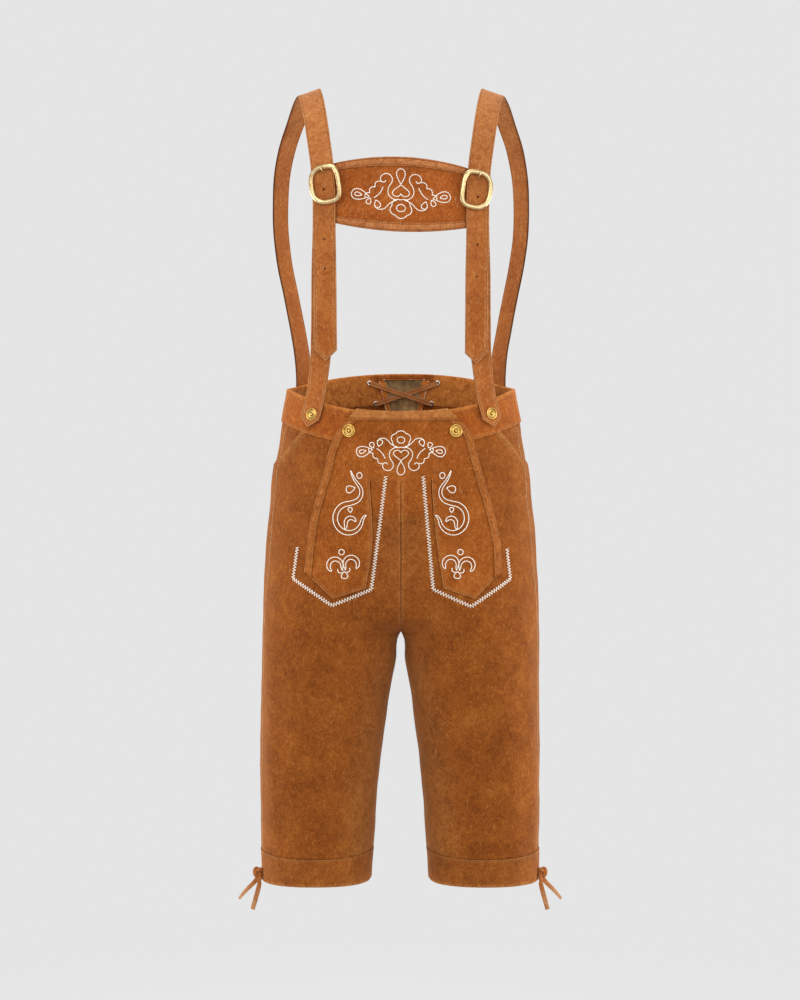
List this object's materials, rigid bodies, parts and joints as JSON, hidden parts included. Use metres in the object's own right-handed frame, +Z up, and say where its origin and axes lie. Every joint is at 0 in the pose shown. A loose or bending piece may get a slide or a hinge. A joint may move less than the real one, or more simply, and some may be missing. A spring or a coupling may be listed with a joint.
{
  "type": "lederhosen",
  "caption": "Knee-length suede lederhosen filled out as if worn: open waist and legs, buttoned front flap with two pointed lobes, buckled shoulder braces joined by a chest bar, and hem ties.",
  "frame": {"origin": "between the two shoulder straps, at the height where the wearer's shoulders carry them", "axes": "+Z up the body, -Y the front of the garment, +X the wearer's left"},
  "size_m": [0.4331, 0.2636, 1.101],
  "materials": {
    "suede_body": "napped suede, matt",
    "suede_trim": "napped suede, matt, cut edges",
    "suede_strap": "lighter suede, matt",
    "gusset_cloth": "plain woven lining cloth",
    "brass": "pale polished brass",
    "nickel": "nickel-plated"
  },
  "bodies": {
    "root": {"front_hip_left": "suede_body", "front_leg_left": "suede_body", "back_hip_left": "suede_body", "back_leg_left": "suede_body", "waistband_front_left": "suede_trim", "waistband_back_left": "suede_trim", "hem_band_left": "suede_trim", "pocket_edge_left": "suede_trim", "flap_strip_left": "suede_trim", "shoulder_strap_left": "suede_strap", "lower_strap_left": "suede_strap", "lace_cross_left": "suede_strap", "tie_knot_left": "suede_strap", "tie_tail_outer_left": "suede_strap", "tie_tail_inner_left": "suede_strap", "buckle_frame_left": "brass", "buckle_prong_left": "brass", "waist_button_left": "brass", "flap_button_left": "brass", "eyelet_upper_left": "nickel", "eyelet_lower_left": "nickel", "front_hip_right": "suede_body", "front_leg_right": "suede_body", "back_hip_right": "suede_body", "back_leg_right": "suede_body", "waistband_front_right": "suede_trim", "waistband_back_right": "suede_trim", "hem_band_right": "suede_trim", "pocket_edge_right": "suede_trim", "flap_strip_right": "suede_trim", "shoulder_strap_right": "suede_strap", "lower_strap_right": "suede_strap", "lace_cross_right": "suede_strap", "tie_knot_right": "suede_strap", "tie_tail_outer_right": "suede_strap", "tie_tail_inner_right": "suede_strap", "buckle_frame_right": "brass", "buckle_prong_right": "brass", "waist_button_right": "brass", "flap_button_right": "brass", "eyelet_upper_right": "nickel", "eyelet_lower_right": "nickel", "front_flap": "suede_body", "chest_bar": "suede_body", "flap_binding": "suede_trim", "chest_border_top": "suede_trim", "chest_border_bottom": "suede_trim", "lace_bar_upper": "suede_strap", "lace_bar_lower": "suede_strap", "back_gusset": "gusset_cloth"}
  },
  "joints": []
}
